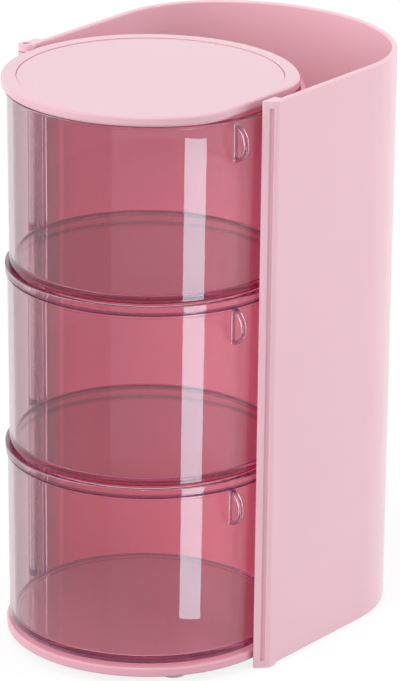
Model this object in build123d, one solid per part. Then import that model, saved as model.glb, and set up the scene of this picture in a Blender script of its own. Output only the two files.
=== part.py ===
from build123d import *
import math
import os

# Swivel tray organiser: an open-fronted shell with a tall rear compartment, and a stack of round
# clear trays under a lid. Each tray and the lid swing out by themselves about one hinge pin on the
# left. Millimetres, +Z up. The model is drawn about the axis of the closed trays, with the front
# towards -Y, and moved at the end so that the origin is the bottom centre of the whole object.

# ---- trays -------------------------------------------------------------------------------------
TIER_NAMES = ("upper", "middle", "lower")
tier_pitch = 76.4          # from one tray's underside to the next
tier_gap = 0.6             # running gap between stacked pieces
tray_radius = 57.0         # outside of the tray wall, just under its rim
tray_taper = 0.8           # how much narrower the wall is at the floor
tray_wall = 2.2
tray_floor = 2.6
tray_floor_fillet = 1.2    # inside corner between wall and floor
foot_ring_width = 4.0
foot_ring_height = 0.6
rim_overhang = 0.9         # rim band beyond the wall
rim_height = 3.2
top_rim_height = 1.3       # the top tray's rim, which is slim because the lid covers it
bead_overhang = 0.45       # fine bead under the rim band
bead_height = 1.2

# ---- finger loops ------------------------------------------------------------------------------
loop_angle = -16.5         # about the tray axis, from +X
loop_height = 15.6
loop_reach = 8.1           # how far the loop stands out from the wall
loop_bar = 1.6             # thickness of the curved bar
loop_plate = 0.8           # flat side against the tray wall
loop_width = 1.8
loop_edge_fillet = 0.5

# ---- hinge -------------------------------------------------------------------------------------
pin_radius = 2.0
pin_fit = 0.05             # radial running clearance on the pin
barrel_wall = 1.55
lid_to_barrel = 0.4        # between the edge of the lid and the hinge line's barrels
web_thickness = 3.0        # wall that joins a barrel to its tray
washer_thickness = 0.4
washer_lip = 0.5           # how far a washer stays inside the barrel's outline
cap_thickness = 2.4
cap_collar_height = 0.3
cap_collar_width = 0.9
pin_end_recess = 0.5
pin_socket_floor = 1.2     # base material left below the pin

# ---- lid ---------------------------------------------------------------------------------------
lid_overhang = 1.5         # beyond the tray rims
lid_thickness = 3.8
lid_flat_inset = 6.2       # depth of the flat on the right of the lid
lid_flat_blend = 30.0      # radius that leads from the flat into the round edge
lid_lip_height = 0.9
lid_lip_step = 0.8
lid_border = 6.0           # raised border round the panel
lid_panel_thickness = 1.2
lid_panel_recess = 0.25
lid_panel_gap = 0.05
lid_edge_fillet = 0.9
lid_tongue_thickness = 2.0

# ---- shell, posts and base -----------------------------------------------------------------------
shell_wall = 2.4
shell_side_clearance = 1.4   # beside the lid
shell_depth = 119.3          # from the tray axis to the outside of the back
shell_corner_radius = 50.0
shell_back_flatness = 6.8    # how much wider the back's arc is than half the shell
shell_rise = 1.2             # shell rim above the lid
shell_edge_fillet = 0.9
floor_clearance = 0.6        # shell and posts above the table
stop_post_front = 5.7        # in front of the tray axis
stop_post_back = 4.0
stop_post_clearance = 0.5    # beside the tray rims
stop_post_step = 0.6         # proud of the shell's side
stop_post_inner_fillet = 0.8
stop_post_outer_fillet = 1.5
stop_groove_start = 3.9      # along the slanted front, from its inner corner
stop_groove_width = 1.8
stop_groove_depth = 0.9
stop_groove_end = 3.0        # plain length at the post's top and bottom
hinge_post_gap = 0.6         # behind the barrels
hinge_post_depth = 5.0
hinge_post_step = 3.0        # proud of the shell's side
post_fillet = 2.0
base_thickness = 4.0
base_front_step = 0.5        # base edge inside the tray rims
base_edge_fillet = 0.9
base_to_tray = 1.4           # above the base, under the lowest tray
divider_clearance = 1.7      # behind the tray rims
divider_wall = 1.8
divider_end_angle = 14.0     # from the +X and -X axes
divider_tab = 3.0            # thickness of the tabs that reach the shell
divider_below_lid = 1.0
foot_height = 3.6
foot_radius = 5.5
foot_edge_fillet = 0.6
foot_front_inset = 11.8      # from the base's round front
foot_front_angle = 38.0      # from the X axis
foot_side_inset = 22.8       # of the back feet, from the shell's inside
foot_back_inset = 35.3       # of the back feet, from the shell's back

# ---- worked out from the sizes above ---------------------------------------------------------------
tier_count = len(TIER_NAMES)
rim_radius = tray_radius + rim_overhang
lid_radius = rim_radius + lid_overhang
bore_radius = pin_radius + pin_fit
barrel_radius = bore_radius + barrel_wall
pin_x = -(lid_radius + lid_to_barrel + barrel_radius)
shell_inner = lid_radius + shell_side_clearance
shell_outer = shell_inner + shell_wall
base_bottom = foot_height
base_top = base_bottom + base_thickness
stack_bottom = base_top + base_to_tray
lid_top = stack_bottom + tier_count * tier_pitch + tier_gap
lid_bottom = lid_top - lid_thickness
shell_top = lid_top + shell_rise
stop_post_inner = rim_radius + stop_post_clearance
stop_post_outer = shell_outer + stop_post_step
hinge_post_front = barrel_radius + hinge_post_gap
hinge_post_back = hinge_post_front + hinge_post_depth
hinge_post_outer = shell_outer + hinge_post_step
shell_back_radius = shell_outer + shell_back_flatness
base_front_radius = rim_radius - base_front_step
foot_front_x = (base_front_radius - foot_front_inset) * math.cos(math.radians(foot_front_angle))
foot_front_y = -(base_front_radius - foot_front_inset) * math.sin(math.radians(foot_front_angle))
foot_back_x = shell_inner - foot_side_inset
foot_back_y = shell_depth - foot_back_inset
cap_bottom = shell_top - cap_collar_height - cap_thickness
divider_inner = rim_radius + divider_clearance
divider_outer = divider_inner + divider_wall


def tray_bottom(tier):
    """Height of a tray's underside; tier 0 is the top one."""
    return stack_bottom + (tier_count - 1 - tier) * tier_pitch


def tray_height(tier):
    """Full height of a tray. The top one ends under the lid."""
    top = lid_bottom if tier == 0 else tray_bottom(tier) + tier_pitch
    return top - tier_gap - tray_bottom(tier)


def ring(outer, inner, height):
    """Flat ring standing on the XY plane."""
    low = (Align.CENTER, Align.CENTER, Align.MIN)
    return Cylinder(outer, height, align=low) - Cylinder(inner, height, align=low)


def block(x_low, x_high, y_low, y_high, z_low, z_high):
    """Box given by its limits."""
    size = Box(x_high - x_low, y_high - y_low, z_high - z_low, align=(Align.MIN,) * 3)
    return Pos(x_low, y_low, z_low) * size


def turned(points):
    """Solid turned about the Z axis from (radius, height) points."""
    profile = make_face(Polyline(*[(r, 0, z) for r, z in points], close=True))
    return revolve(profile, Axis.Z)


def shell_plan(inset):
    """The shell's plan: straight sides, two corner arcs and a wide back arc, all tangent."""
    half = shell_outer - inset
    corner = shell_corner_radius - inset
    back = shell_back_radius - inset
    centre_x = half - corner
    back_y = shell_depth - shell_back_radius
    centre_y = back_y + math.sqrt((back - corner) ** 2 - centre_x ** 2)
    angle = math.atan2(centre_y - back_y, centre_x)
    meet = (back * math.cos(angle), back_y + back * math.sin(angle))
    middle = (centre_x + corner * math.cos(angle / 2), centre_y + corner * math.sin(angle / 2))
    lines = [
        Line((half, 0), (half, centre_y)),
        ThreePointArc((half, centre_y), middle, meet),
        ThreePointArc(meet, (0, back_y + back), (-meet[0], meet[1])),
        ThreePointArc((-meet[0], meet[1]), (-middle[0], middle[1]), (-half, centre_y)),
        Line((-half, centre_y), (-half, 0)),
        Line((-half, 0), (half, 0)),
    ]
    return make_face(Curve() + lines)


# ---- case ------------------------------------------------------------------------------------------
def build_shell():
    height = shell_top - floor_clearance
    wall = extrude(shell_plan(0), height) - extrude(shell_plan(shell_wall), height)
    wall = Pos(0, 0, floor_clearance) * wall
    wall -= block(0, shell_outer + 1, -1, stop_post_back, 0, shell_top)
    wall -= block(-shell_outer - 1, 0, -1, hinge_post_back, 0, shell_top)
    rim = wall.faces().sort_by(Axis.Z)[-1]
    foot = wall.faces().sort_by(Axis.Z)[0]
    long_edges = [e for face in (rim, foot) for e in face.edges() if e.length > 2 * shell_wall]
    return fillet(long_edges, shell_edge_fillet)


def build_stop_post():
    """Post on the right that the trays close behind. Its front slants, with a groove down it."""
    slant = stop_post_outer - stop_post_inner
    plan = Polyline((stop_post_inner, stop_post_back), (stop_post_inner, -stop_post_front),
                    (stop_post_outer, slant - stop_post_front), (stop_post_outer, stop_post_back),
                    close=True)
    post = Pos(0, 0, floor_clearance) * extrude(make_face(plan), shell_top - floor_clearance)
    post = fillet(post.edges().filter_by(Axis.Z).sort_by(Axis.Y)[0], stop_post_inner_fillet)
    outer = post.edges().filter_by(Axis.Z).filter_by(
        lambda e: e.center().X > stop_post_outer - 0.1).sort_by(Axis.Y)[0]
    post = fillet(outer, stop_post_outer_fillet)
    post = fillet(post.faces().sort_by(Axis.Z)[-1].edges(), stop_post_inner_fillet / 2)
    groove = block(stop_groove_start, stop_groove_start + stop_groove_width, -1, stop_groove_depth,
                   floor_clearance + stop_groove_end, shell_top - stop_groove_end)
    return post - Pos(stop_post_inner, -stop_post_front, 0) * Rot(0, 0, 45) * groove


def build_hinge_post():
    """Post on the left behind the barrels, which carries the cap."""
    post = block(-hinge_post_outer, -shell_inner, hinge_post_front, hinge_post_back,
                 floor_clearance, cap_bottom)
    outer = [e for e in post.edges().filter_by(Axis.Z) if e.center().X < -shell_inner - 0.1]
    return fillet(outer, post_fillet)


def build_hinge_cap():
    """Cap over the hinge line. It sits on the hinge post and holds the pin's upper end."""
    lug = Pos(pin_x, 0, 0) * Cylinder(barrel_radius, cap_thickness, align=(Align.CENTER, Align.CENTER,
                                                                            Align.MIN))
    arm = block(-hinge_post_outer, -shell_inner, 0, hinge_post_back, 0, cap_thickness)
    arm = fillet([e for e in arm.edges().filter_by(Axis.Z)
                  if e.center().X < -shell_inner - 0.1 and e.center().Y > 0], post_fillet)
    cap = lug + arm
    collar_inner = pin_radius
    cap += Pos(pin_x, 0, cap_thickness) * ring(collar_inner + cap_collar_width, collar_inner,
                                                cap_collar_height)
    cap -= Pos(pin_x, 0, 0) * Cylinder(pin_radius, 4 * cap_thickness)
    return Pos(0, 0, cap_bottom) * cap


def build_hinge_pin():
    low = base_bottom + pin_socket_floor
    high = shell_top - pin_end_recess
    pin = Pos(pin_x, 0, low) * Cylinder(pin_radius, high - low, align=(Align.CENTER, Align.CENTER,
                                                                        Align.MIN))
    return chamfer(pin.faces().sort_by(Axis.Z)[-1].edges(), pin_radius / 8)


def washer_heights():
    """Undersides of the washers, each in the middle of the gap that it fills."""
    gaps = [tray_bottom(tier) - tier_gap for tier in range(tier_count)]
    gaps.append(lid_bottom - tier_gap)
    slack = (tier_gap - washer_thickness) / 2
    return [low + slack for low in gaps]


def build_hinge_washers():
    single = ring(barrel_radius - washer_lip, bore_radius, washer_thickness)
    return Compound(children=[Pos(pin_x, 0, z) * single for z in washer_heights()])


def build_base_plate(stop_post):
    """Base: a round front under the trays, the floor of the rear compartment and the pin's boss."""
    low = (Align.CENTER, Align.CENTER, Align.MIN)
    disc = Cylinder(base_front_radius, base_thickness, align=low)
    disc = fillet(disc.edges().filter_by(GeomType.CIRCLE), base_edge_fillet)
    floor = extrude(shell_plan(shell_wall), base_thickness)
    boss_height = stack_bottom - tier_gap - base_bottom
    boss = Pos(pin_x, 0, 0) * Cylinder(barrel_radius, boss_height, align=low)
    arm = block(pin_x, -base_front_radius + 2 * barrel_radius, -barrel_radius, barrel_radius,
                0, base_thickness)
    plate = Pos(0, 0, base_bottom) * (disc + floor + boss + arm)
    socket = Cylinder(pin_radius, boss_height, align=low)
    plate -= Pos(pin_x, 0, base_bottom + pin_socket_floor) * socket
    post_room = block(stop_post_inner, stop_post_outer, -stop_post_front, stop_post_back,
                      0, shell_top)
    return plate - post_room


def build_divider():
    """Curved wall between the trays and the rear compartment, with a tab to the shell at each end."""
    height = lid_bottom - divider_below_lid - base_top
    wall = ring(divider_outer, divider_inner, height)
    end_y = divider_inner * math.sin(math.radians(divider_end_angle))
    wall -= block(-divider_outer, divider_outer, -divider_outer, end_y, 0, height)
    tabs = [
        block(low, high, end_y, end_y + divider_tab, 0, height)
        for low, high in ((divider_inner - divider_tab, shell_inner),
                          (-shell_inner, -divider_inner + divider_tab))
    ]
    inside = Cylinder(divider_inner, 3 * height)
    wall = wall + [tab - inside for tab in tabs]
    room = extrude(shell_plan(shell_wall), height)
    return Pos(0, 0, base_top) * (wall & room)


def build_foot(x, y):
    low = (Align.CENTER, Align.CENTER, Align.MIN)
    foot = Cylinder(foot_radius, foot_height, align=low)
    return Pos(x, y, 0) * fillet(foot.faces().sort_by(Axis.Z)[0].edges(), foot_edge_fillet)


# ---- trays -----------------------------------------------------------------------------------------
def bowl_blank(tier):
    """A tray's outside as a full solid, standing on the XY plane."""
    height = tray_height(tier)
    band = top_rim_height if tier == 0 else rim_height
    bead = 0 if tier == 0 else bead_height
    floor_radius = tray_radius - tray_taper
    band_low = height - band
    points = [
        (0, 0), (floor_radius - foot_ring_height, 0), (floor_radius, foot_ring_height),
        (tray_radius, band_low - bead),
    ]
    if bead:
        points += [(tray_radius + bead_overhang, band_low - bead),
                   (tray_radius + bead_overhang, band_low)]
    points += [(rim_radius, band_low), (rim_radius, height), (0, height)]
    return turned(points)


def bowl(tier):
    """A tray's wall and floor as one solid, standing on the XY plane."""
    height = tray_height(tier)
    low = (Align.CENTER, Align.CENTER, Align.MIN)
    blank = bowl_blank(tier)
    rim_edges = [e for e in blank.edges().filter_by(GeomType.CIRCLE)
                 if abs(e.center().Z - height) < 0.01]
    blank = fillet(rim_edges, top_rim_height / 3)
    floor_radius = tray_radius - tray_taper
    cavity = turned([(0, tray_floor), (floor_radius - tray_wall, tray_floor),
                     (tray_radius - tray_wall, height), (0, height)])
    corner = [e for e in cavity.edges().filter_by(GeomType.CIRCLE) if e.center().Z < tray_floor + 0.01]
    cavity = fillet(corner, tray_floor_fillet)
    recess = Cylinder(floor_radius - foot_ring_width, foot_ring_height, align=low)
    return blank - cavity - recess


def floor_core(tier):
    """Cylinder that parts a tray's floor plate from its wall."""
    radius = tray_radius - tray_taper - tray_wall
    return Cylinder(radius, 3 * tray_height(tier))


def build_wall(tier):
    """Tapered wall with its rim band, bead and foot."""
    return Pos(0, 0, tray_bottom(tier)) * (bowl(tier) - floor_core(tier))


def build_floor(tier):
    """Floor plate, set inside the foot of the wall."""
    return Pos(0, 0, tray_bottom(tier)) * (bowl(tier) & floor_core(tier))


def build_barrel(tier):
    """Clear hinge barrel with the web that joins it to its tray."""
    height = tray_height(tier)
    barrel = Pos(pin_x, 0, 0) * ring(barrel_radius, bore_radius, height)
    web = block(pin_x, -tray_radius + tray_wall, -web_thickness / 2, web_thickness / 2, 0, height)
    web -= Pos(pin_x, 0, 0) * Cylinder(bore_radius, 3 * height)
    return Pos(0, 0, tray_bottom(tier)) * (barrel + (web - bowl_blank(tier)))


def loop_profile(inset_bar, plate):
    """D outline in the plane of the loop: a straight side and a round one."""
    half = loop_height / 2 - inset_bar
    reach = loop_reach - inset_bar
    start = plate
    lines = [
        Line((start, -half), (start, half)),
        ThreePointArc((start, half), (reach, 0), (start, -half)),
    ]
    return make_face(Curve() + lines)


def build_loop(tier):
    """D-shaped finger loop on the front right of a tray, just under the rim."""
    height = tray_height(tier)
    band = top_rim_height if tier == 0 else rim_height
    middle = height - band - loop_height / 2
    sink = tray_wall
    outer = extrude(Plane.XZ * loop_profile(0, 0), loop_width / 2, both=True)
    back = block(-sink, 0, -loop_width / 2, loop_width / 2, -loop_height / 2, loop_height / 2)
    inner = extrude(Plane.XZ * loop_profile(loop_bar, loop_plate), loop_width, both=True)
    rounded = [e for e in outer.edges() if e.geom_type == GeomType.CIRCLE]
    loop = fillet(rounded, loop_edge_fillet) + back - inner
    loop = Rot(0, 0, loop_angle) * Pos(tray_radius, 0, middle) * loop
    return Pos(0, 0, tray_bottom(tier)) * (loop - bowl_blank(tier))


# ---- lid -------------------------------------------------------------------------------------------
def flat_sided_disc(radius, flat_x, height):
    """Disc with a flat on its right, which leads smoothly into the round edge."""
    disc = Cylinder(radius, height, align=(Align.CENTER, Align.CENTER, Align.MIN))
    disc -= block(flat_x, radius + 1, -radius, radius, 0, height)
    ends = [e for e in disc.edges().filter_by(Axis.Z) if e.center().X > flat_x - 0.1]
    return fillet(ends, lid_flat_blend - (lid_radius - radius))


def build_lid_frame():
    flat_x = lid_radius - lid_flat_inset
    panel_depth = lid_panel_thickness + lid_panel_recess
    upper_height = lid_thickness - lid_lip_height
    upper = flat_sided_disc(lid_radius, flat_x, upper_height)
    upper = fillet(upper.faces().sort_by(Axis.Z)[-1].edges(), lid_edge_fillet)
    lip = flat_sided_disc(lid_radius - lid_lip_step, flat_x - lid_lip_step, lid_lip_height)
    frame = Pos(0, 0, lid_lip_height) * upper + lip
    frame -= Pos(0, 0, lid_thickness - panel_depth) * flat_sided_disc(
        lid_radius - lid_border, flat_x - lid_border, panel_depth)
    tongue = Pos(pin_x, 0, 0) * Cylinder(barrel_radius, lid_tongue_thickness,
                                         align=(Align.CENTER, Align.CENTER, Align.MIN))
    tongue += block(pin_x, -lid_radius + lid_border, -barrel_radius, barrel_radius,
                    0, lid_tongue_thickness)
    frame = frame + tongue - Pos(pin_x, 0, 0) * Cylinder(bore_radius, 4 * lid_thickness)
    return Pos(0, 0, lid_bottom) * frame


def build_lid_panel():
    inset = lid_border + lid_panel_gap
    panel = flat_sided_disc(lid_radius - inset, lid_radius - lid_flat_inset - inset,
                            lid_panel_thickness)
    panel = fillet(panel.faces().sort_by(Axis.Z)[-1].edges(), lid_panel_thickness / 3)
    return Pos(0, 0, lid_top - lid_panel_recess - lid_panel_thickness) * panel


def build_all():
    """Every piece of the object, by name."""
    stop_post = build_stop_post()
    pieces = {
        "shell": build_shell(),
        "stop_post": stop_post,
        "hinge_post": build_hinge_post(),
        "hinge_cap": build_hinge_cap(),
        "hinge_pin": build_hinge_pin(),
        "hinge_washers": build_hinge_washers(),
        "base_plate": build_base_plate(stop_post),
        "divider": build_divider(),
        "foot_front_left": build_foot(-foot_front_x, foot_front_y),
        "foot_front_right": build_foot(foot_front_x, foot_front_y),
        "foot_back_left": build_foot(-foot_back_x, foot_back_y),
        "foot_back_right": build_foot(foot_back_x, foot_back_y),
        "lid_frame": build_lid_frame(),
        "lid_panel": build_lid_panel(),
    }
    for tier, name in enumerate(TIER_NAMES):
        pieces[f"tray_{name}_wall"] = build_wall(tier)
        pieces[f"tray_{name}_floor"] = build_floor(tier)
        pieces[f"tray_{name}_barrel"] = build_barrel(tier)
        pieces[f"tray_{name}_loop"] = build_loop(tier)
    return pieces


def main():
    pieces = build_all()
    boxes = [piece.bounding_box() for piece in pieces.values()]
    low = [min(getattr(box.min, axis) for box in boxes) for axis in "XYZ"]
    high = [max(getattr(box.max, axis) for box in boxes) for axis in "XYZ"]
    shift = Pos(-(low[0] + high[0]) / 2, -(low[1] + high[1]) / 2, -low[2])
    os.makedirs("parts", exist_ok=True)
    for name, piece in pieces.items():
        export_step(shift * piece, f"parts/{name}.step")
    print("overall size", [round(b - a, 3) for a, b in zip(low, high)])
    print("tray axis at", shift.position, "hinge axis at", shift.position + Vector(pin_x, 0, 0))


main()
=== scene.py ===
"""Looks of a swivel tray organiser: a pink shell, three clear trays on one hinge, and a lid."""

from __future__ import annotations

import logging
import math
from collections.abc import Callable
from dataclasses import dataclass, field
from enum import Enum

import bmesh
import bpy
from mathutils import Euler, Matrix, Vector

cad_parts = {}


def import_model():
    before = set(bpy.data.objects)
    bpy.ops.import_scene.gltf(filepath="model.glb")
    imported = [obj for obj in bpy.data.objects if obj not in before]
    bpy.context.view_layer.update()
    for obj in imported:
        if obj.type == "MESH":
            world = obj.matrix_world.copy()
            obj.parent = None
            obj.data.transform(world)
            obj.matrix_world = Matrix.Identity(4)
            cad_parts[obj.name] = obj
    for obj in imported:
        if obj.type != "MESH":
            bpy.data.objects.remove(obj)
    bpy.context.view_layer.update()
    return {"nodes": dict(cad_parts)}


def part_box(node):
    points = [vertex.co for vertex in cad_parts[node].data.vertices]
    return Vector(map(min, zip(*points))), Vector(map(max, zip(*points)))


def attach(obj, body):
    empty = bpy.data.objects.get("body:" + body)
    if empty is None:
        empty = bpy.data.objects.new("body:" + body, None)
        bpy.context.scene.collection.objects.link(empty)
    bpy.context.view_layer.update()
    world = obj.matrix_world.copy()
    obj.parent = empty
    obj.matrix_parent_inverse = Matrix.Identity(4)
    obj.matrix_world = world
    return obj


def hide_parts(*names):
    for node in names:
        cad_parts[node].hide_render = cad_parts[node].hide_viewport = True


LOG = logging.getLogger("organiser")

# Lengths: metres in one millimetre, and millimetres in one metre.
MM = 0.001
PER_METRE = 1000.0

# Modelling, in millimetres: how near a point counts as on a place, and how near points are merged.
NEAR = 0.01
SEAM = 0.002
BEVEL_STEPS = 4

Point = tuple[float, float, float]
Flat = tuple[float, float]
Span = tuple[float, float]
Colour = tuple[float, float, float, float]

WHITE: Colour = (1.0, 1.0, 1.0, 1.0)
NOISE_MIDDLE: Span = (0.3, 0.7)


# ---- shader helpers ------------------------------------------------------------------------
@dataclass
class Wire:
    """A socket that carries a number, with Python's arithmetic on it."""

    sheet: NodeSheet
    socket: bpy.types.NodeSocket

    def _maths(self, operation: str, left: object, right: object) -> Wire:
        """Adds one Math node.

        Args:
            operation: the Math node's operation.
            left: first number or wire.
            right: second number or wire.

        Returns:
            The node's result.
        """
        return self.sheet.add("ShaderNodeMath", {"operation": operation}, {0: left, 1: right})

    def __add__(self, other: object) -> Wire:
        """Sum."""
        return self._maths("ADD", self, other)

    __radd__ = __add__

    def __mul__(self, other: object) -> Wire:
        """Product."""
        return self._maths("MULTIPLY", self, other)

    __rmul__ = __mul__

    def __sub__(self, other: object) -> Wire:
        """Difference."""
        return self._maths("SUBTRACT", self, other)

    def __rsub__(self, other: object) -> Wire:
        """Reflected difference."""
        return self._maths("SUBTRACT", other, self)

    def __gt__(self, other: object) -> Wire:
        """1 where this is greater, else 0."""
        return self._maths("GREATER_THAN", self, other)

    def __lt__(self, other: object) -> Wire:
        """1 where this is less, else 0."""
        return self._maths("LESS_THAN", self, other)


@dataclass
class NodeSheet:
    """The node tree of one material or world."""

    tree: bpy.types.NodeTree

    def add(self, kind: str, settings: dict | None = None, inputs: dict | None = None,
            output: int | str = 0) -> Wire:
        """Adds a node.

        Args:
            kind: the node's type.
            settings: attributes, set before the sockets.
            inputs: values or wires by socket name or number.
            output: the output that is wanted.

        Returns:
            A wire from that output.
        """
        node = self.tree.nodes.new(kind)
        for name, value in (settings or {}).items():
            setattr(node, name, value)
        for name, value in (inputs or {}).items():
            if isinstance(value, Wire):
                self.tree.links.new(value.socket, node.inputs[name])
            else:
                node.inputs[name].default_value = value
        return Wire(self, node.outputs[output])

    def feed(self, wire: Wire, name: str, node: str = "Principled BSDF") -> None:
        """Links a wire to a socket of a node that the tree came with.

        Args:
            wire: the wire.
            name: the socket's name.
            node: the node's name.
        """
        self.tree.links.new(wire.socket, self.tree.nodes[node].inputs[name])

    def place(self, scale: Point = (1, 1, 1)) -> Wire:
        """Object coordinates in metres, scaled along each axis.

        Args:
            scale: factors along X, Y and Z.

        Returns:
            The vector.
        """
        raw = self.add("ShaderNodeTexCoord", output="Object")
        return self.add("ShaderNodeMapping", None, {"Vector": raw, "Scale": scale})

    def noise(self, scale: float, detail: float = 2.0, stretch: Point = (1, 1, 1)) -> Wire:
        """Cloudy value from 0 to 1, about 0.5.

        Args:
            scale: cycles per metre.
            detail: octaves.
            stretch: factors along the axes.

        Returns:
            The value.
        """
        return self.add("ShaderNodeTexNoise", {"noise_dimensions": "3D"},
                        {"Vector": self.place(stretch), "Scale": scale, "Detail": detail})

    def remap(self, value: Wire, start: float, end: float, low: float = 0.0,
              high: float = 1.0) -> Wire:
        """Maps one range onto another, held at both ends.

        Args:
            value: the wire to map.
            start: the value that gives the low end.
            end: the value that gives the high end.
            low: result at the start and before it.
            high: result at the end and after it.

        Returns:
            The mapped value.
        """
        return self.add("ShaderNodeMapRange", {"clamp": True},
                        {"Value": value, "From Min": start, "From Max": end,
                         "To Min": low, "To Max": high})

    def spread(self, value: Wire, low: float = 0.0, high: float = 1.0) -> Wire:
        """Maps the middle of a noise, where nearly all of it lies, onto a range."""
        return self.remap(value, *NOISE_MIDDLE, low, high)

    def blend(self, share: Wire | float, first: object, second: object) -> Wire:
        """Mixes two colours.

        Args:
            share: how much of the second.
            first: colour or wire.
            second: colour or wire.

        Returns:
            The mixed colour.
        """
        return self.add("ShaderNodeMix", {"data_type": "RGBA"}, {0: share, 6: first, 7: second}, 2)

    def over(self, share: Wire, under: Wire, upper: Wire) -> Wire:
        """Mixes two shaders.

        Args:
            share: how much of the upper one.
            under: the shader that stays where the share is 0.
            upper: the shader that covers it.

        Returns:
            The mixed shader.
        """
        return self.add("ShaderNodeMixShader", None, {0: share, 1: under, 2: upper})


def srgb(code: str) -> Colour:
    """Linear colour of a six-digit sRGB code, by the standard's curve.

    Args:
        code: two hexadecimal digits each for red, green and blue.

    Returns:
        The colour, with full alpha.
    """
    values = [int(code[i:i + 2], 16) / 255 for i in (0, 2, 4)]
    linear = [v / 12.92 if v <= 0.04045 else ((v + 0.055) / 1.055) ** 2.4 for v in values]
    return (*linear, 1.0)


def blank(name: str) -> tuple[bpy.types.Material, NodeSheet, bpy.types.Node]:
    """Makes a material with one untouched Principled shader.

    Args:
        name: the material's name.

    Returns:
        The material, its node tree and the shader's node.
    """
    material = bpy.data.materials.new(name)
    material.use_nodes = True
    sheet = NodeSheet(material.node_tree)
    return material, sheet, material.node_tree.nodes["Principled BSDF"]


# ---- finishes ------------------------------------------------------------------------------
@dataclass(frozen=True)
class MouldedPlastic:
    """Opaque moulded plastic: slight colour drift, satin roughness and a very fine grain."""

    name: str
    colour: str
    shade: str
    roughness: float = 0.38
    unevenness: float = 0.01
    drift: float = 9.0
    grain: float = 2600.0
    relief: float = 0.004
    depth: float = 0.1
    coat: float = 0.2
    coat_roughness: float = 0.08

    def make(self) -> bpy.types.Material:
        """Builds the material.

        Returns:
            The material.
        """
        material, sheet, shader = blank(self.name)
        clouds = sheet.noise(self.drift)
        speckle = sheet.noise(self.grain)
        colour = sheet.blend(sheet.spread(clouds), srgb(self.colour), srgb(self.shade))
        rough = sheet.spread(speckle, self.roughness - self.unevenness,
                             self.roughness + self.unevenness)
        bump = sheet.add("ShaderNodeBump", None, {"Strength": self.relief,
                                                  "Distance": self.depth * MM,
                                                  "Height": speckle})
        sheet.feed(colour, "Base Color")
        sheet.feed(rough, "Roughness")
        sheet.feed(bump, "Normal")
        shader.inputs["Coat Weight"].default_value = self.coat
        shader.inputs["Coat Roughness"].default_value = self.coat_roughness
        return material


@dataclass(frozen=True)
class ClearPlastic:
    """Clear polished plastic: faint flow marks, a tint that darkens seen edge on, and painted
    shade round the thick floor's edge and in the groove.

    Heights and radii are in millimetres. The painted shade rings repeat with the stack of trays.
    """

    name: str
    tint: str = "FBEEF2"
    shade: str = "F9EAEE"
    edge: str = "765250"
    edge_start: float = 0.18
    # Painted shade: a dark ring round each tray's thick floor edge, purpler on the lowest tray,
    # and a dark line in the groove under the rim band.
    plate_shade: str = "A8305C"
    lowest_plate_shade: str = "83508A"
    groove_shade: str = "7A3F78"
    core: Colour = (0.75, 0.0, 0.65, 1.0)
    density: float = 11.0
    passed: str = "F8F2F3"
    flow: float = 30.0
    flow_stretch: Point = (1, 1, 0.25)
    roughness: float = 0.015
    unevenness: float = 0.4
    ior: float = 1.49
    axis: Flat = (1.6, -29.95)
    lowest: float = 9.0
    pitch: float = 76.4
    plate: Span = (-0.4, 2.4)
    plate_radius: float = 55.2
    groove: Span = (71.8, 72.7)

    def make(self) -> bpy.types.Material:
        """Builds the material, which lets lamps shine through to what is behind it.

        Returns:
            The material.
        """
        material, sheet, shader = blank(self.name)
        flow = sheet.noise(self.flow, stretch=self.flow_stretch)
        face = sheet.blend(sheet.spread(flow), srgb(self.tint), srgb(self.shade))
        # Seen edge on, the tint runs to the dark edge colour: partly the longer path through the
        # tinted wall, partly painted shade.
        slope = sheet.add("ShaderNodeLayerWeight", None, {"Blend": 0.5}, "Facing")
        colour = sheet.blend(sheet.remap(slope, self.edge_start, 1.0), face, srgb(self.edge))
        colour = self._paint_shade_rings(sheet, colour)
        rough = sheet.spread(flow, self.roughness * (1 - self.unevenness),
                             self.roughness * (1 + self.unevenness))
        sheet.feed(colour, "Base Color")
        sheet.feed(rough, "Roughness")
        shader.inputs["Transmission Weight"].default_value = 1.0
        shader.inputs["IOR"].default_value = self.ior
        surface = Wire(sheet, shader.outputs["BSDF"])
        through = sheet.add("ShaderNodeBsdfTransparent", None, {"Color": srgb(self.passed)})
        for kind in ("Is Diffuse Ray", "Is Shadow Ray"):
            surface = sheet.over(sheet.add("ShaderNodeLightPath", output=kind), surface, through)
        depth = sheet.add("ShaderNodeVolumeAbsorption", None,
                          {"Color": self.core, "Density": self.density})
        sheet.feed(surface, "Surface", "Material Output")
        sheet.feed(depth, "Volume", "Material Output")
        return material

    def _paint_shade_rings(self, sheet: NodeSheet, colour: Wire) -> Wire:
        """Paints shade as dark rings round the thick floor's edge and in the groove under the rim
        band.

        Args:
            sheet: the material's node tree.
            colour: the tint so far.

        Returns:
            The tint with both painted shade rings.
        """
        place = sheet.add("ShaderNodeTexCoord", output="Object")
        x, y, z = (sheet.add("ShaderNodeSeparateXYZ", None, {0: place}, axis) * PER_METRE
                   for axis in "XYZ")
        across, along = x - self.axis[0], y - self.axis[1]
        outside = across * across + along * along > self.plate_radius ** 2
        # Heights repeat from 1 mm under each tray, so that a ring may start just below its floor.
        below = 1.0
        height = sheet.add("ShaderNodeMath", {"operation": "MODULO"},
                           {0: z - (self.lowest - below), 1: self.pitch}) - below
        # The slim rim of the top tray has no groove.
        banded = z < self.lowest + 2 * self.pitch
        # The lowest tray's floor edge gets a purpler painted shade than the trays above.
        floor_edge_shade = sheet.blend(z < self.pitch, srgb(self.plate_shade), srgb(self.lowest_plate_shade))
        rings = ((self.plate, floor_edge_shade, outside), (self.groove, srgb(self.groove_shade), banded))
        for (bottom, top), tint, where in rings:
            ring = (height > bottom) * (height < top) * where
            colour = sheet.blend(ring, colour, tint)
        return colour


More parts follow.
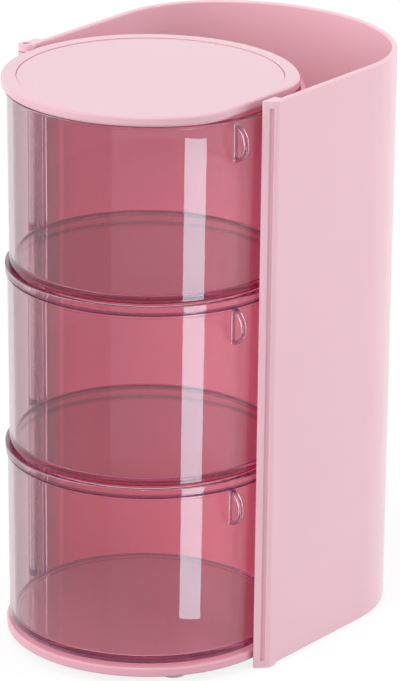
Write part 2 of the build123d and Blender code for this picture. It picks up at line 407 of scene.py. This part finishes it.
@dataclass(frozen=True)
class TurnedSteel:
    """Bright steel rod with fine marks round it."""

    name: str
    # Bright steel; the pink cast in these colours is a painted reflection of the pink plastic
    # round the pin.
    colour: str = "F2E9EC"
    shade: str = "DDD2D6"
    marks: float = 60.0
    marks_detail: float = 3.0
    marks_stretch: Point = (1, 1, 60)
    roughness: Span = (0.24, 0.4)

    def make(self) -> bpy.types.Material:
        """Builds the material.

        Returns:
            The material.
        """
        material, sheet, shader = blank(self.name)
        marks = sheet.noise(self.marks, self.marks_detail, self.marks_stretch)
        colour = sheet.blend(sheet.spread(marks), srgb(self.colour), srgb(self.shade))
        sheet.feed(colour, "Base Color")
        sheet.feed(sheet.spread(marks, *self.roughness), "Roughness")
        shader.inputs["Metallic"].default_value = 1.0
        return material


class Finish(Enum):
    """The finishes of this object."""

    SHELL = MouldedPlastic("pink_shell", "EBC0CA", "E8BCC7", roughness=0.26)
    LID = MouldedPlastic("pink_lid", "DFB0BC", "DCACB9", roughness=0.22, coat=0.6)
    # The divider is the shell's pink made deeper and more saturated: painted glow for light that
    # passes through the pink walls and bounces round the cavity.
    INNER = MouldedPlastic("pink_divider_painted_glow", "FD92AB", "F78CA6", roughness=0.45, coat=0.0)
    BASE = MouldedPlastic("pink_base", "E2A8B5", "DEA3B1", roughness=0.24)
    CLEAR = ClearPlastic("clear_plastic")
    # The loops are the trays' clear plastic with a darker tint and darker edges: painted shade for
    # their dark outlines.
    CLEAR_LOOP = ClearPlastic("clear_loop_painted_shade", "DDB4C2", "D8ACBB", edge="5E3048")
    STEEL = TurnedSteel("steel_rod")
    NYLON = MouldedPlastic("nylon_washer", "EFEDE8", "E6E3DC", roughness=0.5, coat=0.0)
    RUBBER = MouldedPlastic("rubber_foot", "F0ECEC", "E9E4E4", roughness=0.7, relief=0.3,
                            coat=0.0)


class Paints:
    """Makes each finish once and puts it on pieces."""

    def __init__(self) -> None:
        """Starts with nothing made."""
        self.made: dict[Finish, bpy.types.Material] = {}

    def put(self, piece: bpy.types.Object, finish: Finish) -> None:
        """Gives a piece one finish in all its slots.

        Args:
            piece: the piece.
            finish: the finish.
        """
        if finish not in self.made:
            self.made[finish] = finish.value.make()
        if not piece.material_slots:
            piece.data.materials.append(self.made[finish])
        for slot in piece.material_slots:
            slot.material = self.made[finish]


# ---- studio --------------------------------------------------------------------------------
@dataclass(frozen=True)
class Softbox:
    """A rectangular lamp that faces its target. Angles are in degrees, lengths in metres."""

    name: str
    azimuth: float
    elevation: float
    distance: float
    width: float
    height: float
    power: float
    target: Point = (0.0, 0.0, 0.12)
    mirrored: bool = False
    colour: Point = (1.0, 1.0, 1.0)

    def build(self) -> bpy.types.Object:
        """Adds the lamp.

        Returns:
            The lamp's object.
        """
        around, up = math.radians(self.azimuth), math.radians(self.elevation)
        back = Vector((math.sin(around) * math.cos(up), -math.cos(around) * math.cos(up),
                       math.sin(up)))
        lamp = bpy.data.lights.new(self.name, "AREA")
        lamp.shape = "RECTANGLE"
        lamp.size, lamp.size_y, lamp.energy = self.width, self.height, self.power
        lamp.color = self.colour
        holder = bpy.data.objects.new(self.name, lamp)
        bpy.context.scene.collection.objects.link(holder)
        holder.location = Vector(self.target) + back * self.distance
        holder.rotation_euler = (math.radians(90 - self.elevation), 0, around)
        holder.visible_glossy = self.mirrored
        return holder


@dataclass
class Studio:
    """Camera, pale floor, white surroundings and soft lamps. Lengths are in metres."""

    azimuth: float = 37.3075
    elevation: float = 19.6746
    roll: float = 0.70587
    lens: float = 237.993
    sensor: float = 36.0
    clip: Span = (0.05, 50.0)
    spot: Point = (1.05706, -1.38059, 0.74001)
    world_level: float = 0.62
    bounces: int = 40
    diffuse_bounces: int = 8
    floor_size: float = 8.0
    floor_albedo: float = 0.55
    floor_glow: float = 0.84
    lamps: tuple[Softbox, ...] = (
        Softbox("key_left", azimuth=-20, elevation=27, distance=1.8,
                width=1.6, height=1.6, power=22),
        Softbox("right_side", azimuth=125, elevation=20, distance=1.4,
                width=1.6, height=1.4, power=12),
        Softbox("back_fill", azimuth=215, elevation=20, distance=1.8,
                width=1.5, height=1.2, power=5),
        Softbox("top_edge", azimuth=20, elevation=75, distance=1.5,
                width=0.25, height=0.25, power=2.5, mirrored=True),
    )
    gloss_strip: Softbox = Softbox(
        "gloss_strip", azimuth=75, elevation=0, distance=0.06, width=0.028, height=0.21,
        power=0.175, target=(0.049, -0.0617, 0.104), mirrored=True, colour=(0.56, 0.9, 1.0))
    glossy: bpy.types.Collection = field(init=False)

    def build(self) -> None:
        """Adds everything that isn't the object."""
        self._camera()
        self._world()
        self._floor()
        for lamp in self.lamps:
            lamp.build()
        self._gloss()
        scene = bpy.context.scene
        scene.view_settings.view_transform = "Standard"
        # Light runs along the clear walls and comes out at the rims after many bounces.
        cycles = scene.cycles
        cycles.max_bounces = cycles.transmission_bounces = cycles.glossy_bounces = self.bounces
        cycles.transparent_max_bounces = self.bounces
        cycles.diffuse_bounces = self.diffuse_bounces

    def _gloss(self) -> None:
        """Adds the tall strip lamp at the right, which shows only as gloss on chosen pieces."""
        strip = self.gloss_strip.build()
        strip.visible_camera = strip.visible_diffuse = strip.visible_transmission = False
        self.glossy = bpy.data.collections.new("glossy_pieces")
        strip.light_linking.receiver_collection = self.glossy

    def _camera(self) -> None:
        """Places the camera as the photograph's."""
        camera = bpy.data.cameras.new("camera")
        camera.lens = self.lens
        camera.sensor_width = self.sensor
        camera.clip_start, camera.clip_end = self.clip
        holder = bpy.data.objects.new("camera", camera)
        bpy.context.scene.collection.objects.link(holder)
        turn = Euler((math.radians(90 - self.elevation), 0, math.radians(self.azimuth)))
        turn = turn.to_matrix() @ Matrix.Rotation(math.radians(self.roll), 3, "Z")
        holder.matrix_world = Matrix.Translation(self.spot) @ turn.to_4x4()
        bpy.context.scene.camera = holder

    @staticmethod
    def _seen(sheet: NodeSheet) -> Wire:
        """Tells rays that show the background from those that only light the object.

        Args:
            sheet: the node tree to work in.

        Returns:
            1 for rays that come straight, by a mirror or through clear plastic, else 0.
        """
        kinds = ("Is Camera Ray", "Is Glossy Ray", "Is Transmission Ray")
        straight, by_mirror, through = (sheet.add("ShaderNodeLightPath", output=kind)
                                        for kind in kinds)
        return sheet.add("ShaderNodeMath", {"operation": "MINIMUM"},
                         {0: straight + by_mirror + through, 1: 1.0})

    def _world(self) -> None:
        """White where it is seen, and a plain level of light elsewhere."""
        world = bpy.data.worlds.new("surroundings")
        world.use_nodes = True
        bpy.context.scene.world = world
        sheet = NodeSheet(world.node_tree)
        level = self._seen(sheet) * (1.0 - self.world_level) + self.world_level
        world.node_tree.nodes["Background"].inputs["Color"].default_value = WHITE
        sheet.feed(level, "Strength", "Background")

    def _floor(self) -> None:
        """A pale floor that keeps the object's soft shadow."""
        bpy.ops.mesh.primitive_plane_add(size=self.floor_size, location=(0, 0, 0))
        floor = bpy.context.object
        floor.name = "floor"
        material, sheet, unused = blank("pale_floor")
        material.node_tree.nodes.remove(unused)
        seen = self._seen(sheet)
        grey = (self.floor_albedo, self.floor_albedo, self.floor_albedo, 1.0)
        matt = sheet.add("ShaderNodeBsdfDiffuse", None, {"Color": sheet.blend(seen, grey, WHITE)})
        glow = sheet.add("ShaderNodeEmission", None, {"Color": WHITE, "Strength": 1.0})
        sheet.feed(sheet.over(seen * self.floor_glow, matt, glow), "Surface", "Material Output")
        floor.data.materials.append(material)


# ---- modelling -----------------------------------------------------------------------------
@dataclass(frozen=True)
class Corner:
    """A corner of an outline that is turned about a vertical axis, in millimetres."""

    radius: float
    height: float
    rounding: float = 0.0


class Bench:
    """Steps of modelling one piece in edit mode. Lengths are given in millimetres."""

    def __init__(self, name: str) -> None:
        """Clears the selection, which the loaded model leaves full.

        Args:
            name: the name of the new piece.
        """
        self.name = name
        bpy.ops.object.select_all(action="DESELECT")

    @staticmethod
    def pick(kind: str, test: Callable[[Vector], bool], within: bool = False) -> None:
        """Selects vertices or edges by their place.

        Args:
            kind: VERT or EDGE.
            test: says whether a point, in millimetres, belongs; an edge needs both its ends.
            within: only looks among what is selected now.
        """
        bpy.ops.mesh.select_mode(type=kind)
        mesh = bmesh.from_edit_mesh(bpy.context.object.data)
        items = mesh.verts if kind == "VERT" else mesh.edges
        found = []
        for item in items:
            ends = [item] if kind == "VERT" else item.verts
            inside = all(test(end.co / MM) for end in ends)
            found.append(inside and (item.select or not within))
        bpy.ops.mesh.select_all(action="DESELECT")
        for item, chosen in zip(items, found):
            if chosen:
                item.select_set(True)
        bmesh.update_edit_mesh(bpy.context.object.data)

    @staticmethod
    def close_seams() -> None:
        """Merges doubled points and turns all faces outwards."""
        bpy.ops.mesh.select_all(action="SELECT")
        bpy.ops.mesh.remove_doubles(threshold=SEAM * MM)
        bpy.ops.mesh.normals_make_consistent(inside=False)

    @staticmethod
    def round_edges(rounding: float) -> None:
        """Bevels the selected edges."""
        bpy.ops.mesh.bevel(offset=rounding * MM, segments=BEVEL_STEPS, affect="EDGES")

    def turn(self, outline: list[Corner], centre: Flat, steps: int = 168) -> None:
        """Draws an outline point by point, spins it about a vertical axis and rounds its corners.

        Args:
            outline: the corners, in order, from the axis to the axis.
            centre: the axis in plan, in millimetres.
            steps: how many steps make the full turn.
        """
        bpy.ops.mesh.primitive_plane_add(size=MM, location=(0, 0, 0))
        bpy.ops.object.mode_set(mode="EDIT")
        bpy.ops.mesh.select_mode(type="VERT")
        bpy.ops.mesh.select_all(action="SELECT")
        bpy.ops.mesh.merge(type="CENTER")
        at = Vector((0.0, 0.0, 0.0))
        for number, corner in enumerate(outline):
            goal = Vector((centre[0] + corner.radius, centre[1], corner.height)) * MM
            if number:
                bpy.ops.mesh.extrude_region_move(TRANSFORM_OT_translate={"value": goal - at})
            else:
                bpy.ops.transform.translate(value=goal - at)
            at = goal
        bpy.ops.mesh.select_all(action="SELECT")
        axis = Vector((centre[0], centre[1], 0)) * MM
        bpy.ops.mesh.spin(steps=steps, angle=math.tau, center=axis, axis=(0, 0, 1))
        self.close_seams()
        for corner in outline:
            if corner.rounding:
                self._round_ring(corner, centre)

    def _round_ring(self, corner: Corner, centre: Flat) -> None:
        """Bevels the ring of edges at one corner.

        Args:
            corner: the corner.
            centre: the axis in plan, in millimetres.
        """
        middle = Vector((centre[0], centre[1]))
        self.pick("EDGE", lambda p: abs(p.z - corner.height) < NEAR
                  and abs((p.xy - middle).length - corner.radius) < NEAR)
        self.round_edges(corner.rounding)

    def finish(self, turned: float = 0.0, upright: bool = False,
               place: Point = (0.0, 0.0, 0.0), smooth: float = 35.0) -> bpy.types.Object:
        """Leaves edit mode, puts the piece in its place and smooths its shading.

        Args:
            turned: degrees about the vertical axis.
            upright: whether the drawing's Y axis becomes the vertical one.
            place: where the drawing's origin goes, in millimetres.
            smooth: edges sharper than this many degrees stay crisp.

        Returns:
            The finished piece.
        """
        bpy.ops.object.mode_set(mode="OBJECT")
        piece = bpy.context.object
        piece.name = piece.data.name = self.name
        piece.rotation_euler = (math.pi / 2 if upright else 0.0, 0.0, math.radians(turned))
        piece.location = Vector(place) * MM
        bpy.ops.object.transform_apply(location=True, rotation=True, scale=True)
        bpy.ops.object.shade_smooth_by_angle(angle=math.radians(smooth))
        weighted = piece.modifiers.new("even_shading", "WEIGHTED_NORMAL")
        weighted.keep_sharp = True
        bpy.ops.object.modifier_apply(modifier=weighted.name)
        return piece


# ---- trays ---------------------------------------------------------------------------------
def centre_of(node: str) -> Flat:
    """Middle of a CAD node's box in plan, in millimetres."""
    low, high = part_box(node)
    return (low.x + high.x) / 2 / MM, (low.y + high.y) / 2 / MM


def span_of(node: str) -> Span:
    """Lowest and highest point of a CAD node, in millimetres."""
    low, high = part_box(node)
    return low.z / MM, high.z / MM


@dataclass
class Tray:
    """One clear tray with its finger loop. Sizes are in millimetres."""

    tier: str
    slim_rim: bool
    wall_radius: float = 57.0
    floor_radius: float = 56.2
    wall: float = 2.2
    floor: float = 2.6
    rim_radius: float = 57.9
    slim_band: float = 1.3
    full_band: float = 3.2
    bead_radius: float = 57.45
    bead: float = 1.1
    groove: float = 0.7
    groove_radius: float = 56.7
    foot_ring: float = 4.0
    foot_rise: float = 0.6
    foot_slope: float = 0.3
    fine_edge: float = 0.25
    soft_edge: float = 0.3
    groove_edge: float = 0.12
    rim_edge: float = 0.5
    floor_corner: float = 1.2
    loop_angle: float = -16.5
    loop_height: float = 15.6
    loop_reach: float = 8.1
    loop_bar: float = 1.6
    loop_plate: float = 0.8
    loop_width: float = 1.8
    loop_edge: float = 0.45
    loop_points: int = 72
    loop_sharp: float = 50.0

    @property
    def rim(self) -> float:
        """Height of the rim band."""
        return self.slim_band if self.slim_rim else self.full_band

    @property
    def wall_node(self) -> str:
        """Name of the CAD wall of this tray."""
        return f"tray_{self.tier}_wall"

    def build(self, paints: Paints) -> list[bpy.types.Object]:
        """Models the bowl and the loop and puts them in place of the CAD ones.

        Args:
            paints: the finishes.

        Returns:
            The two pieces.
        """
        made = [(("wall", "floor"), self._bowl(), Finish.CLEAR),
                (("loop",), self._loop(), Finish.CLEAR_LOOP)]
        for parts, piece, finish in made:
            paints.put(piece, finish)
            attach(piece, f"{self.tier}_tray")
            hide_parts(*(f"tray_{self.tier}_{part}" for part in parts))
            LOG.info("modelled %s", piece.name)
        return [piece for _, piece, _ in made]

    def _bowl(self) -> bpy.types.Object:
        """Turns the bowl: foot ring, tapered wall, bead, groove, rim band and thick floor.

        Returns:
            The bowl.
        """
        low, high = span_of(self.wall_node)
        band = high - self.rim
        ring = self.floor_radius - self.foot_ring
        outline = [
            Corner(0, low + self.foot_rise),
            Corner(ring, low + self.foot_rise, self.fine_edge),
            Corner(ring + self.foot_slope, low, self.fine_edge),
            Corner(self.floor_radius - self.foot_rise, low, self.soft_edge),
            Corner(self.floor_radius, low + self.foot_rise, self.soft_edge),
        ]
        if self.slim_rim:
            outline += [Corner(self.wall_radius, band, self.fine_edge)]
        else:
            bead = band - self.groove
            outline += [
                Corner(self.wall_radius, bead - self.bead, self.fine_edge),
                Corner(self.bead_radius, bead - self.bead, self.soft_edge),
                Corner(self.bead_radius, bead, self.groove_edge),
                Corner(self.groove_radius, bead, self.groove_edge),
                Corner(self.groove_radius, band, self.groove_edge),
            ]
        outline += [
            Corner(self.rim_radius, band, self.soft_edge),
            Corner(self.rim_radius, high, self.rim_edge),
            Corner(self.wall_radius - self.wall, high, self.rim_edge),
            Corner(self.floor_radius - self.wall, low + self.floor, self.floor_corner),
            Corner(0, low + self.floor),
        ]
        bench = Bench(f"clear_bowl_{self.tier}")
        bench.turn(outline, centre_of(self.wall_node))
        return bench.finish()

    def _loop(self) -> bpy.types.Object:
        """Shapes the D loop: two flattened circles bridged, given width and rounded.

        Returns:
            The loop.
        """
        half = self.loop_height / 2
        middle = (self.loop_reach ** 2 - half ** 2) / (2 * self.loop_reach)
        radius = self.loop_reach - middle
        bench = Bench(f"finger_loop_{self.tier}")
        self._circle(radius, middle)
        bpy.ops.object.transform_apply(location=True)
        bpy.ops.object.mode_set(mode="EDIT")
        self._flatten(bench, 0.0)
        self._circle(radius - self.loop_bar, middle)
        self._flatten(bench, self.loop_plate)
        bpy.ops.mesh.select_all(action="SELECT")
        bpy.ops.mesh.bridge_edge_loops()
        bpy.ops.mesh.select_all(action="SELECT")
        bpy.ops.transform.translate(value=(0, 0, -self.loop_width / 2 * MM))
        bpy.ops.mesh.extrude_region_move(
            TRANSFORM_OT_translate={"value": (0, 0, self.loop_width * MM)})
        bench.close_seams()
        bpy.ops.mesh.select_mode(type="EDGE")
        bpy.ops.mesh.select_all(action="DESELECT")
        bpy.ops.mesh.edges_select_sharp(sharpness=math.radians(self.loop_sharp))
        bench.round_edges(self.loop_edge)
        centre = centre_of(self.wall_node)
        angle = math.radians(self.loop_angle)
        _, high = span_of(self.wall_node)
        place = (centre[0] + self.wall_radius * math.cos(angle),
                 centre[1] + self.wall_radius * math.sin(angle),
                 high - self.rim - half)
        return bench.finish(turned=self.loop_angle, upright=True, place=place)

    def _circle(self, radius: float, middle: float) -> None:
        """Adds a circle on the drawing's X axis.

        Args:
            radius: its radius, in millimetres.
            middle: its centre's X, in millimetres.
        """
        bpy.ops.mesh.primitive_circle_add(vertices=self.loop_points, radius=radius * MM,
                                          location=(middle * MM, 0, 0))

    @staticmethod
    def _flatten(bench: Bench, at: float) -> None:
        """Presses the selected circle's left side flat.

        Args:
            bench: the bench with the circle selected.
            at: where the flat lies, in millimetres.
        """
        bench.pick("VERT", lambda p: p.x < at, within=True)
        bpy.ops.transform.resize(value=(0, 1, 1), center_override=(at * MM, 0, 0))


# ---- main ----------------------------------------------------------------------------------
def finish_of(node: str) -> Finish:
    """Chooses a CAD node's finish by its name.

    Args:
        node: the node's name.

    Returns:
        The finish.
    """
    if node.startswith("tray_"):
        return Finish.CLEAR
    if node.startswith("foot_"):
        return Finish.RUBBER
    by_name = {"lid_frame": Finish.LID, "lid_panel": Finish.LID, "hinge_pin": Finish.STEEL,
               "hinge_washers": Finish.NYLON, "divider": Finish.INNER, "base_plate": Finish.BASE}
    return by_name.get(node, Finish.SHELL)


def main() -> None:
    """Builds the studio and dresses the object."""
    logging.basicConfig(level=logging.INFO, format="%(message)s")
    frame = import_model()
    studio = Studio()
    studio.build()
    paints = Paints()
    for name, node in frame["nodes"].items():
        finish = finish_of(name)
        paints.put(node, finish)
        LOG.info("dressed %s with %s", name, finish.name)
    for tier in ("upper", "middle", "lower"):
        for piece in Tray(tier, slim_rim=tier == "upper").build(paints):
            studio.glossy.objects.link(piece)


if __name__ == "__main__":
    main()
